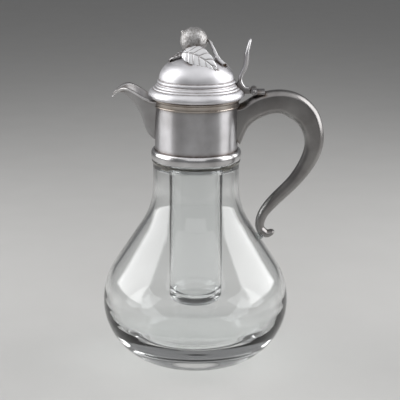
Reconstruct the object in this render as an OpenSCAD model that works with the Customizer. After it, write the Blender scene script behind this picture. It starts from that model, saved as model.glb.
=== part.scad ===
// Glass wine carafe with silver-plated collar, beak spout, scroll handle, hinged lid and a hanging ice tube.
// Origin on the table under the body axis, +Z up, +X toward the handle, -X toward the spout, millimetres.

/* [Glass body] */
// Greatest outside radius of the bulb
bulge_r = 77.7; // [75:0.1:80]
// Height of the greatest radius above the table
bulge_z = 49.8; // [47:0.1:53]
// Radius of the flat standing face
foot_r = 41; // [37:0.5:45]
// Radius of the round shoulder above the bulge
shoulder_arc = 58; // [55:0.5:62]
// Slope of the straight cone below the neck, from the vertical
cone_angle = 33.2; // [32:0.1:34.5]
// Outside radius of the neck
neck_r = 35.7; // [35.3:0.1:36.6]
// Radius of the hollow between cone and neck
neck_fillet = 57; // [48:1:66]
// Height of the neck shoulder that carries the collar
neck_z = 172; // [168:0.5:176]
// How far the round lip of the neck stands out under the band
neck_lip = 1; // [0.7:0.1:1.3]
// Height of the lip
lip_h = 3.8; // [3:0.1:4.6]
// Wall thickness of the bulb and neck
glass_wall = 3.6; // [3:0.1:4.2]
// Thickness of the heavy floor
floor_t = 18; // [15:0.5:21]
// Height of the reduced glass spigot inside the collar
spigot_h = 23; // [19:0.5:25]
// Wall thickness of the spigot
spigot_wall = 3; // [2.4:0.1:3.6]

/* [Collar] */
// Outside radius of the collar sleeve
collar_r = 34; // [33.4:0.1:34.6]
// Height of the collar sleeve
collar_h = 51.3; // [49:0.1:54]
// Thickness of the sheet metal
sheet_t = 1.2; // [1:0.05:1.4]
// Thickness of the cement between spigot and collar
cement_t = 1.4; // [1:0.05:1.8]
// Height of the half-round band at the collar foot
band_h = 8; // [7:0.1:9]
// How far the band stands out from the neck
band_lip = 1.5; // [1.2:0.1:2]
// Height of the moulding round the collar top
mould_h = 7.5; // [6.5:0.1:8.5]
// Projection of the upper bead of the moulding
bead_out = 2.5; // [2:0.1:2.9]

/* [Ice tube] */
// Outside radius of the glass tube
tube_r = 22; // [20.6:0.1:22.8]
// Wall thickness of the tube
tube_wall = 2.2; // [1.8:0.1:2.8]
// Height of the tube bottom above the table
tube_z = 48; // [44:0.5:56]
// Thickness of the tube bottom
tube_floor = 6; // [4:0.5:8]
// Depth of the gallery seat below the collar top
seat_depth = 7.3; // [6.8:0.1:8]
// Thickness of the gallery ring
gallery_t = 1.6; // [1.2:0.1:2]
// Thickness of the hanging flange
flange_t = 2; // [1.6:0.1:2.4]
// Width of the flange that rests on the gallery
flange_lap = 3.7; // [3:0.1:4.4]
// Height of the sleeve that grips the tube
sleeve_h = 12; // [10:0.5:14]

/* [Lid] */
// Overhang of the lid rim beyond the collar
lid_over = 5.4; // [4.6:0.1:6]
// Height of the rim and flange below the dome
flange_h = 14.6; // [13.6:0.1:15.6]
// Radius of the dome
dome_r = 30.6; // [29.8:0.1:31.4]
// Height of the dome
dome_h = 19.3; // [17:0.1:21]
// Gap between closed lid and collar top
lid_gap = 0.1; // [0.05:0.05:0.3]
// Depth of the locating skirt inside the collar
skirt_h = 2.9; // [2.2:0.1:3.4]
// Clearance between skirt and collar bore
skirt_gap = 0.9; // [0.7:0.1:1.2]

/* [Hinge] */
// Distance of the pin from the lid rim
hinge_out = 7.5; // [7.1:0.1:8.1]
// Height of the pin above the collar top
hinge_up = 5.3; // [5:0.1:5.8]
// Radius of the knuckles
knuckle_r = 2.8; // [2.5:0.05:2.9]
// Radius of the pin
pin_r = 1.1; // [0.9:0.05:1.3]
// Running clearance of the lid knuckle on the pin
pin_fit = 0.06; // [0.04:0.01:0.09]
// Length of the middle knuckle
mid_len = 5.8; // [5:0.1:6.4]
// Length of each outer knuckle
side_len = 4.1; // [3.6:0.1:4.6]
// Side clearance between knuckles
side_gap = 0.2; // [0.15:0.05:0.3]
// Length of the saddle plate on the handle
saddle_len = 8.6; // [7.6:0.1:9.6]
// Height of the thumb-piece above the pin
thumb_h = 43; // [40:0.5:44]
// Greatest width of the thumb-piece
thumb_w = 14; // [12:0.5:16]

/* [Spout] */
// Reach of the spout tip from the collar wall
spout_reach = 34.4; // [32:0.2:37]
// Greatest half width of the spout rim
spout_half = 16.2; // [15:0.1:17.5]
// Rise of the spout rim above the collar top
spout_rise = 8.6; // [7.8:0.1:9.4]
// Depth of the spout below the collar top
spout_depth = 36.8; // [34:0.2:38]
// Height of the wire along the spout rim
wire_h = 1.9; // [1.5:0.1:2.3]
// Projection of the wire from the spout wall
wire_out = 1; // [0.8:0.05:1.3]

/* [Handle] */
// Reach of the handle from the collar wall
handle_reach = 71; // [68:0.5:75]
// Rise of the handle arch above the collar top
handle_rise = 6; // [5.2:0.1:6.4]
// Width of the handle at the top
handle_w = 15; // [14:0.1:16]
// Crown of the outer face as a share of the half width
handle_crown = 0.53; // [0.4:0.01:0.6]
// Thickness of the clear pad between the handle tail and the glass
pad_t = 1; // [0.8:0.05:1.4]
// Radius of the clear pad
pad_r = 3.2; // [2.6:0.1:3.8]

/* [Finial] */
// Radius of the fruit
fruit_r = 11.1; // [10.4:0.1:11.8]
// Tilt of the fruit from the vertical
fruit_tilt = 52; // [44:1:60]
// Height of the fruit bottom above the dome
fruit_gap = 0.5; // [0.3:0.1:1]
// Radius of the seat under the fruit
seat_r = 4.6; // [4:0.1:5.2]
// Half width of the front leaf
leaf_half = 8.4; // [7.6:0.1:9.2]
// Half width of the leaf on the spout side
side_half = 6.5; // [5.6:0.1:7.4]
// Thickness of the leaves
leaf_t = 1.3; // [1:0.1:1.6]
// Radius of the stem
stem_r = 1.3; // [1.1:0.05:1.6]
// Radius of the threaded stud
stud_r = 1.5; // [1.3:0.1:1.8]

/* [Hidden] */
$fn = 96;
big = 400;
fit = 0.3;
collar_in = collar_r - sheet_t;
spigot_r = collar_in - cement_t;
collar_top = neck_z + collar_h;
band_r = max(neck_r, collar_r + 0.5 * band_lip) + band_lip;
mould_z = collar_top - mould_h;
shoulder_c = [bulge_r - shoulder_arc, bulge_z];
cone_top = shoulder_c + shoulder_arc * [cos(cone_angle), sin(cone_angle)];
neck_corner = cone_top[1] + (cone_top[0] - neck_r) / tan(cone_angle);
fillet_c = [neck_r + neck_fillet, neck_corner + neck_fillet * tan(cone_angle / 2)];
foot_in = bulge_r - foot_r;
inner_turn = 12;
lower_arc = (foot_in * foot_in + bulge_z * bulge_z) / (2 * foot_in);
gallery_z = collar_top - seat_depth;
sleeve_r = tube_r + 1 + sheet_t;
gallery_r = sleeve_r + 0.5;
flange_r = gallery_r + flange_lap;
tube_top = gallery_z + flange_t + 1.2;
lid_z = collar_top + lid_gap;
lid_r = collar_r + lid_over;
flange_w = lid_r - dome_r;
rim_in = lid_r - 0.27 * flange_w;
dome_z = lid_z + flange_h;
dome_top = dome_z + dome_h;
skirt_r = collar_in - skirt_gap;
hinge = [lid_r + hinge_out, collar_top + hinge_up];
saddle_z = hinge[1] - knuckle_r + 0.1;
tail_x = collar_r + 0.268 * handle_reach;
cone_z = cone_top[1] + (cone_top[0] - tail_x) / tan(cone_angle);
tail_z = cone_z + pad_t / sin(cone_angle) - 3.5;
arch_h = collar_top + handle_rise - tail_z;
fruit_c = [-0.207 * fruit_r, 0, dome_top + fruit_gap + fruit_r];
stud_in = 4 * stud_r;
stud_drop = sheet_t + 4.5 * stud_r;

// Points along a circular arc in the profile plane.
function arc(c, r, a0, a1, n) = [for (i = [0 : n]) let (a = a0 + (a1 - a0) * i / n) c + r * [cos(a), sin(a)]];

// Points along a cubic curve with four control points.
function cubic(p, n) = [for (i = [0 : n]) let (t = i / n, s = 1 - t)
    s * s * s * p[0] + 3 * s * s * t * p[1] + 3 * s * t * t * p[2] + t * t * t * p[3]];

// One point of a smooth curve that passes through every row of a list.
function through(p, i, t) = let (
    last = len(p) - 1,
    a = i == 0 ? 2 * p[0] - p[1] : p[i - 1],
    b = p[i],
    c = p[i + 1],
    d = i + 2 > last ? 2 * p[last] - p[last - 1] : p[i + 2])
    0.5 * (2 * b + (c - a) * t + (2 * a - 5 * b + 4 * c - d) * t * t + (3 * b - a - 3 * c + d) * t * t * t);

// A smooth list of points through the rows, with n steps between neighbours.
function smooth(p, n) = concat(
    [for (i = [0 : len(p) - 2]) for (k = [0 : n - 1]) through(p, i, k / n)],
    [p[len(p) - 1]]);

// Direction to the left of travel at point i of a planar path.
function left_of(c, i) = let (
    a = c[max(i - 1, 0)],
    b = c[min(i + 1, len(c) - 1)],
    d = [b[0] - a[0], b[1] - a[1]])
    [-d[1], d[0]] / norm(d);

// Outline of a planar band that follows rows of [x, z, thickness].
function band_outline(c) = concat(
    [for (i = [0 : len(c) - 1]) [c[i][0], c[i][1]] + left_of(c, i) * c[i][2] / 2],
    [for (i = [len(c) - 1 : -1 : 0]) [c[i][0], c[i][1]] - left_of(c, i) * c[i][2] / 2]);

// Solid skin over closed rings with the same even number of points, each ring a front and a back row.
module skin(rings) {
    m = len(rings[0]);
    n = len(rings);
    e = (n - 1) * m;
    polyhedron(
        points = [for (r = rings) for (p = r) p],
        faces = concat(
            [for (i = [0 : n - 2]) for (j = [0 : m - 1])
                [i * m + j, (i + 1) * m + (j + 1) % m, i * m + (j + 1) % m]],
            [for (i = [0 : n - 2]) for (j = [0 : m - 1])
                [i * m + j, (i + 1) * m + j, (i + 1) * m + (j + 1) % m]],
            [for (j = [0 : m / 2 - 2]) each [[j, j + 1, m - 1 - j], [j + 1, m - 2 - j, m - 1 - j]]],
            [for (j = [0 : m / 2 - 2]) each [
                [e + j + 1, e + j, e + m - 1 - j], [e + m - 2 - j, e + j + 1, e + m - 1 - j]]]));
}

// Plate with an outline in the XZ plane, centred on Y.
module plate_y(outline, w) {
    rotate([90, 0, 0]) linear_extrude(height = w, center = true) polygon(outline);
}

// Round bar along Y through a point of the XZ plane.
module bar_y(p, r, y0, y1) {
    translate([p[0], y1, p[1]]) rotate([90, 0, 0]) cylinder(r = r, h = y1 - y0);
}

// Ring turned about the body axis.
module ring(r0, r1, z0, z1) {
    rotate_extrude() translate([r0, z0]) square([r1 - r0, z1 - z0]);
}

// Outer profile of the glass from the standing face to the neck.
function glass_outer() = concat(
    arc([bulge_r - lower_arc, bulge_z], lower_arc, -asin(bulge_z / lower_arc), 0, 24),
    arc(shoulder_c, shoulder_arc, 2, cone_angle, 10),
    arc(fillet_c, neck_fillet, 180 + cone_angle, 180, 10),
    cubic([[neck_r, neck_z - lip_h], [neck_r, neck_z - 0.6 * lip_h],
        [neck_r + neck_lip, neck_z - 0.7 * lip_h], [neck_r + neck_lip, neck_z - 0.2 * lip_h]], 6),
    [[neck_r + 0.85 * neck_lip, neck_z]]);

// Inner profile of the glass from the spigot bore down to the floor.
function glass_inner() = let (
    r = shoulder_arc - glass_wall,
    a = inner_turn,
    start = shoulder_c + r * [cos(a), sin(a)],
    lead = start + 16 * [sin(a), -cos(a)],
    floor_curve = cubic([start, lead, [0.9 * bulge_r, floor_t], [foot_r + 3, floor_t]], 20))
    concat(
        arc(fillet_c, neck_fillet + glass_wall, 180, 180 + cone_angle, 10),
        arc(shoulder_c, r, cone_angle, a, 8),
        [for (i = [1 : 20]) floor_curve[i]]);

// Blown glass body with a heavy floor and a reduced spigot for the collar.
module glass_body() {
    color([0.85, 0.92, 0.92, 0.35])
        rotate_extrude() polygon(concat(
            [[0, 0]],
            glass_outer(),
            [[spigot_r, neck_z], [spigot_r, neck_z + spigot_h],
                [spigot_r - spigot_wall, neck_z + spigot_h], [spigot_r - spigot_wall, neck_z - 4],
                [neck_r - glass_wall, neck_z - 11]],
            glass_inner(),
            [[0, floor_t]]));
}

// Solid of everything inside the outer surface of the bulb, for trimming the pad.
module glass_envelope() {
    rotate_extrude() polygon(concat([[0, 0]], glass_outer(), [[0, neck_z]]));
}

// Cement that holds the collar on the spigot.
module neck_cement() {
    color([0.85, 0.83, 0.78]) ring(spigot_r, collar_in, neck_z, neck_z + spigot_h);
}

// Sleeve with a pouring window behind the spout.
module collar() {
    top = gallery_z - gallery_t - 1.5;
    low = neck_z + spigot_h + 2;
    w0 = 0.18 * spout_half;
    w1 = 0.5 * spout_half;
    color([0.80, 0.80, 0.80])
        difference() {
            ring(collar_in, collar_r, neck_z, collar_top);
            translate([-collar_r - 1, 0, 0]) rotate([90, 0, 90]) linear_extrude(height = collar_r)
                polygon([[-w0, low], [w0, low], [w1, top], [-w1, top]]);
        }
}

// Half-round band that covers the joint of collar and glass.
module collar_band() {
    mid = neck_z + band_h / 2;
    upper = collar_r + 0.55 * band_lip;
    lower = max(neck_r + 0.5 * neck_lip, upper);
    color([0.82, 0.82, 0.82])
        rotate_extrude() polygon(concat(
            [[collar_r, neck_z]],
            [for (a = [-75 : 10 : 75])
                let (b = a < 0 ? lower : upper)
                [b + (band_r - b) * cos(a), mid + band_h / 2 * sin(a) / sin(75)]],
            [[collar_r, neck_z + band_h]]));
}

// Profile of the moulding round the collar top, with its inner face at radius r0.
function moulding_profile(r0) = concat(
    [[r0, mould_z]],
    arc([collar_r + 0.16 * bead_out, mould_z + 0.135 * mould_h], 0.36 * bead_out, -80, 80, 8),
    cubic([[collar_r + 0.24 * bead_out, mould_z + 0.28 * mould_h],
        [collar_r + 0.24 * bead_out, mould_z + 0.53 * mould_h],
        [collar_r + 0.36 * bead_out, collar_top - 0.29 * mould_h],
        [collar_r + 0.64 * bead_out, collar_top - 0.29 * mould_h]], 6),
    arc([collar_r + 0.6 * bead_out, collar_top - 0.4 * bead_out], 0.4 * bead_out, -75, 80, 8),
    [[collar_r + 0.52 * bead_out, collar_top], [r0, collar_top]]);

// Bead, hollow and lower bead round the top of the collar.
module collar_moulding() {
    color([0.82, 0.82, 0.82]) rotate_extrude() polygon(moulding_profile(collar_r));
}

// Solid of everything inside the collar and its moulding, for fitting the spout and the handle.
module collar_envelope() {
    translate([0, 0, neck_z]) cylinder(r = collar_r, h = collar_h);
    rotate_extrude() polygon(moulding_profile(0));
}

// Ledge inside the collar that carries the ice tube.
module tube_gallery() {
    color([0.78, 0.78, 0.78]) ring(gallery_r, collar_in, gallery_z - gallery_t, gallery_z);
}

// Rows of [reach, half width, height] along the spout rim, and [reach, height] along its keel.
spout_rim = [[-0.12, 0.80, -0.20], [0.06, 0.87, -0.14], [0.19, 0.94, 0.10], [0.35, 1.00, 0.46],
    [0.51, 0.94, 0.81], [0.65, 0.79, 1.00], [0.78, 0.57, 0.92], [0.90, 0.32, 0.58], [0.97, 0.17, 0.22],
    [1.00, 0.09, 0.06]];
spout_keel = [[-0.12, -1.01], [0.05, -0.95], [0.19, -0.80], [0.28, -0.57], [0.37, -0.35], [0.51, -0.14],
    [0.65, 0.00], [0.79, 0.08], [0.92, 0.05], [0.98, -0.04]];
spout_stations = [for (i = [0 : len(spout_rim) - 1]) [
    -collar_r - spout_rim[i][0] * spout_reach,
    spout_rim[i][1] * spout_half,
    collar_top + spout_rim[i][2] * spout_rise,
    -collar_r - spout_keel[i][0] * spout_reach,
    collar_top + spout_keel[i][1] * spout_depth]];
spout_path = smooth(spout_stations, 3);
spout_bend = 1.35;

// Wall thickness and wire seat of one spout station.
function spout_depth_at(s) = norm([s[0] - s[3], s[2] - s[4]]);
function spout_wall_at(s) = min(sheet_t, 0.4 * s[1], 0.3 * spout_depth_at(s));
function wire_share(s) = pow(1 - min(wire_h / spout_depth_at(s), 0.45), 1 / spout_bend);

// Point of a spout station at share v across, with the wall moved inward by t.
function spout_point(s, v, t) = let (
    up = [s[0] - s[3], s[2] - s[4]] / spout_depth_at(s),
    k = [s[3], s[4]] + min(2.2 * t, 0.5 * spout_depth_at(s)) * up,
    q = k + ([s[0], s[2]] - k) * pow(abs(v), spout_bend))
    [q[0], (s[1] - t) * v, q[1]];

// Closed section of the spout wall at one station.
function spout_ring(s) = let (
    a = wire_share(s),
    vs = concat([-1], [for (k = [-6 : 6]) a * k / 6], [1]),
    t = spout_wall_at(s))
    concat([for (v = vs) spout_point(s, v, 0)], [for (k = [len(vs) - 1 : -1 : 0]) spout_point(s, vs[k], t)]);

// Open beak of sheet metal soldered over the pouring window.
module spout() {
    color([0.76, 0.76, 0.77])
        difference() {
            skin([for (s = spout_path) spout_ring(s)]);
            collar_envelope();
        }
}

// Direction away from the spout wall, inside the plane of the station.
function wire_normal(s, d, side) = let (
    up = [s[0] - s[3], 0, s[2] - s[4]] / spout_depth_at(s),
    n = side * [0, d * up, 0] - side * d[1] * up)
    n / norm(n);

// Half-round section of the rim wire between its upper edge a and lower edge b.
function wire_section(a, b, n) = [
    a, a + 0.12 * (b - a) + 0.65 * wire_out * n, a + 0.38 * (b - a) + wire_out * n,
    b + 0.38 * (a - b) + wire_out * n, b + 0.12 * (a - b) + 0.65 * wire_out * n, b];

// Section of the rim wire on one side of a spout station.
function wire_ring(s, side) = let (
    a = spout_point(s, side, 0),
    b = spout_point(s, side * wire_share(s), 0))
    wire_section(a, b, wire_normal(s, a - b, side));

// Section of the rim wire where it turns round the tip.
function wire_tip(s) = let (
    a = spout_point(s, 1, 0),
    b = spout_point(s, wire_share(s), 0))
    wire_section([a[0], 0, a[2]], [b[0], 0, b[2]], [-1, 0, 0]);

// Wire that stiffens the rim of the spout on both sides.
module spout_wire() {
    last = len(spout_path) - 1;
    color([0.85, 0.85, 0.85])
        difference() {
            skin(concat(
                [for (s = spout_path) wire_ring(s, 1)],
                [wire_tip(spout_path[last])],
                [for (i = [last : -1 : 0]) wire_ring(spout_path[i], -1)]));
            collar_envelope();
        }
}

// Rows of [reach share, height share, thickness] along the middle of the handle.
handle_rows = [[-0.117, 0.769, 39.2], [0.068, 0.834, 20.3], [0.280, 0.903, 19.5], [0.486, 0.922, 20.0],
    [0.662, 0.891, 21.2], [0.815, 0.811, 19.3], [0.887, 0.677, 16.0], [0.842, 0.549, 13.9],
    [0.679, 0.403, 11.3], [0.428, 0.255, 10.2], [0.306, 0.163, 8.5], [0.277, 0.079, 7.3], [0.351, 0.033, 8.5],
    [0.448, 0.039, 2.8]];
handle_path = smooth([for (h = handle_rows)
    [collar_r + h[0] * handle_reach, tail_z + h[1] * arch_h, h[2]]], 4);

// Section of the handle with a crowned outer face and a flatter inner face.
function handle_ring(i) = let (
    c = handle_path[i],
    n = left_of(handle_path, i),
    w = handle_w / 2 * (1 - 0.4 * i / (len(handle_path) - 1)),
    crown = min(handle_crown * w, 0.45 * c[2]),
    belly = min(0.15 * w, 0.2 * c[2]))
    concat(
        [for (j = [0 : 8]) let (q = 1 - j / 4, e = c[2] / 2 - crown * q * q)
            [c[0] + n[0] * e, q * w, c[1] + n[1] * e]],
        [for (j = [0 : 8]) let (q = j / 4 - 1, e = belly * q * q - c[2] / 2)
            [c[0] + n[0] * e, q * w, c[1] + n[1] * e]]);

// Full sweep of the handle before it is fitted to the collar and the hinge.
module handle_sweep() {
    skin([for (i = [0 : len(handle_path) - 1]) handle_ring(i)]);
}

// Scroll handle soldered to the collar.
module handle() {
    color([0.72, 0.72, 0.74])
        difference() {
            handle_sweep();
            collar_envelope();
            translate([hinge[0] - 10, -big / 2, saddle_z]) cube([saddle_len + 10, big, big]);
        }
}

// Clear pad that keeps the handle tail off the glass.
module handle_pad() {
    n = [cos(cone_angle), 0, sin(cone_angle)];
    p = [tail_x, 0, cone_z] - 2 * n;
    color([0.9, 0.93, 0.93, 0.6])
        difference() {
            translate(p) rotate([0, 90 - cone_angle, 0]) cylinder(r = pad_r, h = 2 + pad_t + 0.9);
            glass_envelope($fn = 720);
            handle_sweep();
        }
}

// Plate on the handle with the two outer knuckles.
module hinge_saddle() {
    y0 = mid_len / 2 + side_gap;
    color([0.78, 0.77, 0.75])
        difference() {
            union() {
                bar_y(hinge, knuckle_r, y0, y0 + side_len);
                bar_y(hinge, knuckle_r, -y0 - side_len, -y0);
                intersection() {
                    translate([hinge[0], -6.2, saddle_z]) cube([saddle_len, 12.4, knuckle_r + 1.3]);
                    translate([hinge[0], 0, hinge[1] - 7.6]) rotate([0, 90, 0])
                        cylinder(r = 9, h = saddle_len);
                }
            }
            bar_y(hinge, knuckle_r + fit, -y0, y0);
            bar_y(hinge, pin_r, -big, big);
        }
}

// Pin through all three knuckles with two domed ends.
module hinge_pin() {
    y1 = mid_len / 2 + side_gap + side_len;
    color([0.7, 0.68, 0.62])
        union() {
            bar_y(hinge, pin_r, -y1, y1);
            for (s = [-1, 1])
                intersection() {
                    translate([hinge[0], s * (y1 - 1.2), hinge[1]]) sphere(r = 2);
                    bar_y(hinge, 3, s > 0 ? y1 : -y1 - 3, s > 0 ? y1 + 3 : -y1);
                }
        }
}

// Outer profile of the lid: round rim, stepped flange, ring and dome.
function lid_outer() = concat(
    cubic([[lid_r - 0.16 * flange_w, 0], [lid_r + 0.08 * flange_w, 0.041 * flange_h],
        [lid_r + 0.045 * flange_w, 0.288 * flange_h], [lid_r - 0.33 * flange_w, 0.452 * flange_h]], 10),
    [for (s = [[0.443, 0.473], [0.5, 0.562], [0.648, 0.589], [0.705, 0.685], [0.807, 0.712]])
        [lid_r - s[0] * flange_w, s[1] * flange_h]],
    arc([dome_r - 0.1, 0.87 * flange_h], 0.103 * flange_h, -50, 70, 8),
    [for (a = [0 : 5 : 90]) [dome_r * cos(a), flange_h + dome_h * sin(a)]]);

// Solid of everything inside the outer surface of the lid.
module lid_envelope() {
    translate([0, 0, lid_z]) rotate_extrude() polygon(concat([[0, 0]], lid_outer()));
}

// Spun sheet lid with a bored top for the finial stud.
module lid_shell() {
    color([0.88, 0.88, 0.88])
        difference() {
            translate([0, 0, lid_z]) rotate_extrude() polygon(concat(
                lid_outer(),
                [for (a = [90 : -5 : 0])
                    [(dome_r - sheet_t) * cos(a), flange_h + (dome_h - sheet_t) * sin(a)]],
                [[dome_r - sheet_t, 0.8 * flange_h], [lid_r - 0.5 * flange_w, 0.37 * flange_h],
                    [lid_r - 0.25 * flange_w, 0.164 * flange_h], [rim_in, 1], [rim_in, 0]]));
            translate([0, 0, dome_z]) cylinder(r = stud_r, h = big);
        }
}

// Ring inside the lid rim with a skirt that centres the lid in the collar.
module lid_bezel() {
    color([0.75, 0.74, 0.72])
        rotate_extrude() polygon([
            [skirt_r - sheet_t, lid_z - skirt_h], [skirt_r, lid_z - skirt_h], [skirt_r, lid_z],
            [rim_in, lid_z], [rim_in, lid_z + 1], [skirt_r - sheet_t, lid_z + 1]]);
}

// Rows of [out from the pin, share of the height, thickness] along the thumb-piece.
thumb_rows = [[-4.3, 0.045, 2.6], [-7.8, 0.062, 3.0], [-10.2, 0.126, 3.2], [-11.3, 0.214, 3.3],
    [-10.05, 0.323, 3.5], [-7.55, 0.440, 3.9], [-6.45, 0.579, 4.3], [-6.25, 0.730, 4.1], [-4.7, 0.881, 3.2],
    [-3.3, 1.000, 2.0]];
thumb_path = smooth([for (p = thumb_rows) [hinge[0] + p[0], hinge[1] + p[1] * thumb_h, p[2]]], 4);

// Front outline of the thumb-piece as [half width share, height share].
thumb_front = smooth([[0.56, -0.1], [0.50, 0.10], [0.42, 0.30], [0.62, 0.48], [1.00, 0.70], [0.72, 0.90],
    [0.10, 1.06]], 4);

// Leaf-shaped lever that opens the lid.
module thumb_piece() {
    side = [for (p = thumb_front) [p[0] * thumb_w / 2, hinge[1] + p[1] * thumb_h]];
    color([0.80, 0.80, 0.80])
        intersection() {
            plate_y(band_outline(thumb_path), 2 * thumb_w);
            rotate([90, 0, 90]) linear_extrude(height = big, center = true)
                polygon(concat(side, [for (i = [len(side) - 1 : -1 : 0]) [-side[i][0], side[i][1]]]));
        }
}

// Leaf of the hinge on the lid, with the middle knuckle.
module hinge_strap() {
    foot = [for (i = [0 : 12]) [thumb_path[i][0], thumb_path[i][1]]];
    color([0.76, 0.75, 0.73])
        difference() {
            union() {
                bar_y(hinge, knuckle_r, -mid_len / 2, mid_len / 2);
                translate([hinge[0] - 4.2, -mid_len / 2, hinge[1] - 2.2]) cube([4.2, mid_len, 3.8]);
                plate_y(concat(foot, [[lid_r - 8, hinge[1] + 4], [lid_r + 0.5, hinge[1] - 2.2],
                    [hinge[0] - 3.3, hinge[1] - 2.2], [hinge[0] - 3.3, hinge[1] + 1.6]]), 9);
            }
            thumb_piece();
            lid_envelope();
            bar_y(hinge, pin_r + pin_fit, -big, big);
        }
}

// Fruit body before it is bored for the stud.
module fruit_solid() {
    r = fruit_r;
    translate(fruit_c) rotate([0, -fruit_tilt, 0]) rotate_extrude() polygon(concat(
        arc([0, 0], r, -90, 60, 30),
        cubic([[r * 0.44, r * 0.92], [r * 0.26, r * 1.02], [r * 0.18, r * 1.08], [r * 0.13, r * 1.17]], 5),
        [[r * 0.07, r * 1.22], [0, r * 1.23]]));
}

// Fruit on top of the lid.
module finial_fruit() {
    color([0.74, 0.74, 0.74])
        difference() {
            fruit_solid();
            translate([0, 0, dome_z]) cylinder(r = stud_r, h = dome_h + fruit_gap + stud_in);
        }
}

// Turned seat between dome and fruit.
module finial_seat() {
    color([0.75, 0.74, 0.72])
        difference() {
            translate([0, 0, dome_z]) cylinder(r = seat_r, h = dome_h + fruit_gap + 1.4);
            lid_envelope();
            fruit_solid();
            translate([0, 0, dome_z]) cylinder(r = stud_r, h = big);
        }
}

// Middle line of the stem in fruit radii over the dome top, from the fruit to the cut end, and radius share.
stem_rows = [[0.63, 0, 1.045, 0.8], [0.90, -0.18, 1.08, 0.8], [1.17, -0.45, 0.63, 1.05],
    [1.495, -0.72, -0.054, 1.35], [1.766, -0.847, -0.378, 1.6], [2.07, -0.946, -0.62, 1.6]];
stem_path = smooth([for (p = stem_rows) [p[0] * fruit_r, p[1] * fruit_r, p[2] * fruit_r, p[3]]], 4);

// Section of the stem at one point of its path.
function stem_ring(i) = let (
    c = stem_path[i],
    d = stem_path[min(i + 1, len(stem_path) - 1)] - stem_path[max(i - 1, 0)],
    e = [d[0], d[1], d[2]] / norm([d[0], d[1], d[2]]),
    u = cross(e, [0, 1, 0]) / norm(cross(e, [0, 1, 0])),
    v = cross(u, e))
    [for (a = [0 : 30 : 330]) [c[0], c[1], c[2] + dome_top] + stem_r * c[3] * (cos(a) * u - sin(a) * v)];

// Stem that bends from the fruit down to the lid.
module finial_stem() {
    color([0.72, 0.72, 0.72])
        difference() {
            skin([for (i = [0 : len(stem_path) - 1]) stem_ring(i)]);
            fruit_solid();
            lid_envelope();
        }
}

// Section of a leaf at share s of its length; the rib is in fruit radii over the dome top.
// The direction across points to one edge.
function leaf_ring(rib, across, half, s) = let (
    t = 1 - s,
    c = fruit_r * (t * t * rib[0] + 2 * t * s * rib[1] + s * s * rib[2]) + [0, 0, dome_top],
    d = t * (rib[1] - rib[0]) + s * (rib[2] - rib[1]),
    b = across / norm(across),
    n = cross(d, b) / norm(cross(d, b)),
    w = half * (0.08 + 0.92 * pow(sin(180 * pow(s, 0.92)), 0.55)))
    concat(
        [for (k = [-4 : 4]) c + b * w * k / 4 + n * (leaf_t / 2 - 0.09 * w * k * k / 16)],
        [for (k = [4 : -1 : -4]) c + b * w * k / 4 - n * (leaf_t / 2 + 0.09 * w * k * k / 16)]);

// Curved leaf fitted to the dome and the fruit.
module leaf(rib, across, half) {
    difference() {
        skin([for (i = [0 : 16]) leaf_ring(rib, across, half, i / 16)]);
        fruit_solid();
        lid_envelope();
    }
}

// Leaf that leans on the front of the fruit.
module leaf_front() {
    color([0.75, 0.75, 0.75])
        leaf([[-0.99, -1.04, 0.31], [-0.09, -1.57, 0.56], [1.41, -1.86, -0.77]], [0.46, 0.45, 0.76],
            leaf_half);
}

// Leaf on the spout side of the dome.
module leaf_side() {
    color([0.75, 0.75, 0.75])
        leaf([[-0.495, 0.09, 0.054], [-1.333, 0, 0.198], [-1.982, -0.09, -0.486]], [0, 1, 0], side_half);
}

// Threaded stud from the fruit through the lid.
module finial_stud() {
    color([0.7, 0.68, 0.62])
        translate([0, 0, dome_top - stud_drop]) cylinder(r = stud_r, h = stud_drop + fruit_gap + stud_in);
}

// Washer under the lid.
module finial_washer() {
    z = dome_top - sheet_t - 1.4;
    color([0.7, 0.68, 0.62]) ring(stud_r, 2.67 * stud_r, z, z + 1);
}

// Hexagon nut that holds the finial.
module finial_nut() {
    z = dome_top - sheet_t - 4;
    color([0.7, 0.68, 0.62])
        difference() {
            translate([0, 0, z]) cylinder(r = 2.13 * stud_r, h = 2.6, $fn = 6);
            translate([0, 0, z - 1]) cylinder(r = stud_r, h = 5);
        }
}

// Glass tube for ice, closed at the bottom.
module ice_tube() {
    r = tube_r;
    b = tube_r - tube_wall;
    color([0.85, 0.92, 0.92, 0.35])
        rotate_extrude() polygon(concat(
            [[0, tube_z]],
            arc([r - 7, tube_z + 7], 7, -90, 0, 8),
            [[r, tube_top], [b, tube_top]],
            arc([b - 9, tube_z + tube_floor + 9], 9, 0, -90, 8),
            [[0, tube_z + tube_floor]]));
}

// Ring that hangs the tube on the gallery.
module tube_flange() {
    color([0.78, 0.78, 0.78])
        rotate_extrude() polygon([
            [tube_r + 1, gallery_z + flange_t - sleeve_h], [sleeve_r, gallery_z + flange_t - sleeve_h],
            [sleeve_r, gallery_z], [flange_r, gallery_z], [flange_r, gallery_z + flange_t],
            [tube_r + 1, gallery_z + flange_t]]);
}

// Soft seal between tube and ring.
module tube_seal() {
    color([0.92, 0.92, 0.90]) ring(tube_r, tube_r + 1, gallery_z + flange_t - sleeve_h, gallery_z + flange_t);
}

glass_body();
neck_cement();
collar();
collar_band();
collar_moulding();
tube_gallery();
spout();
spout_wire();
handle();
handle_pad();
hinge_saddle();
hinge_pin();
lid_shell();
lid_bezel();
hinge_strap();
thumb_piece();
finial_seat();
finial_fruit();
finial_stem();
leaf_front();
leaf_side();
finial_stud();
finial_washer();
finial_nut();
ice_tube();
tube_flange();
tube_seal();
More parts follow.
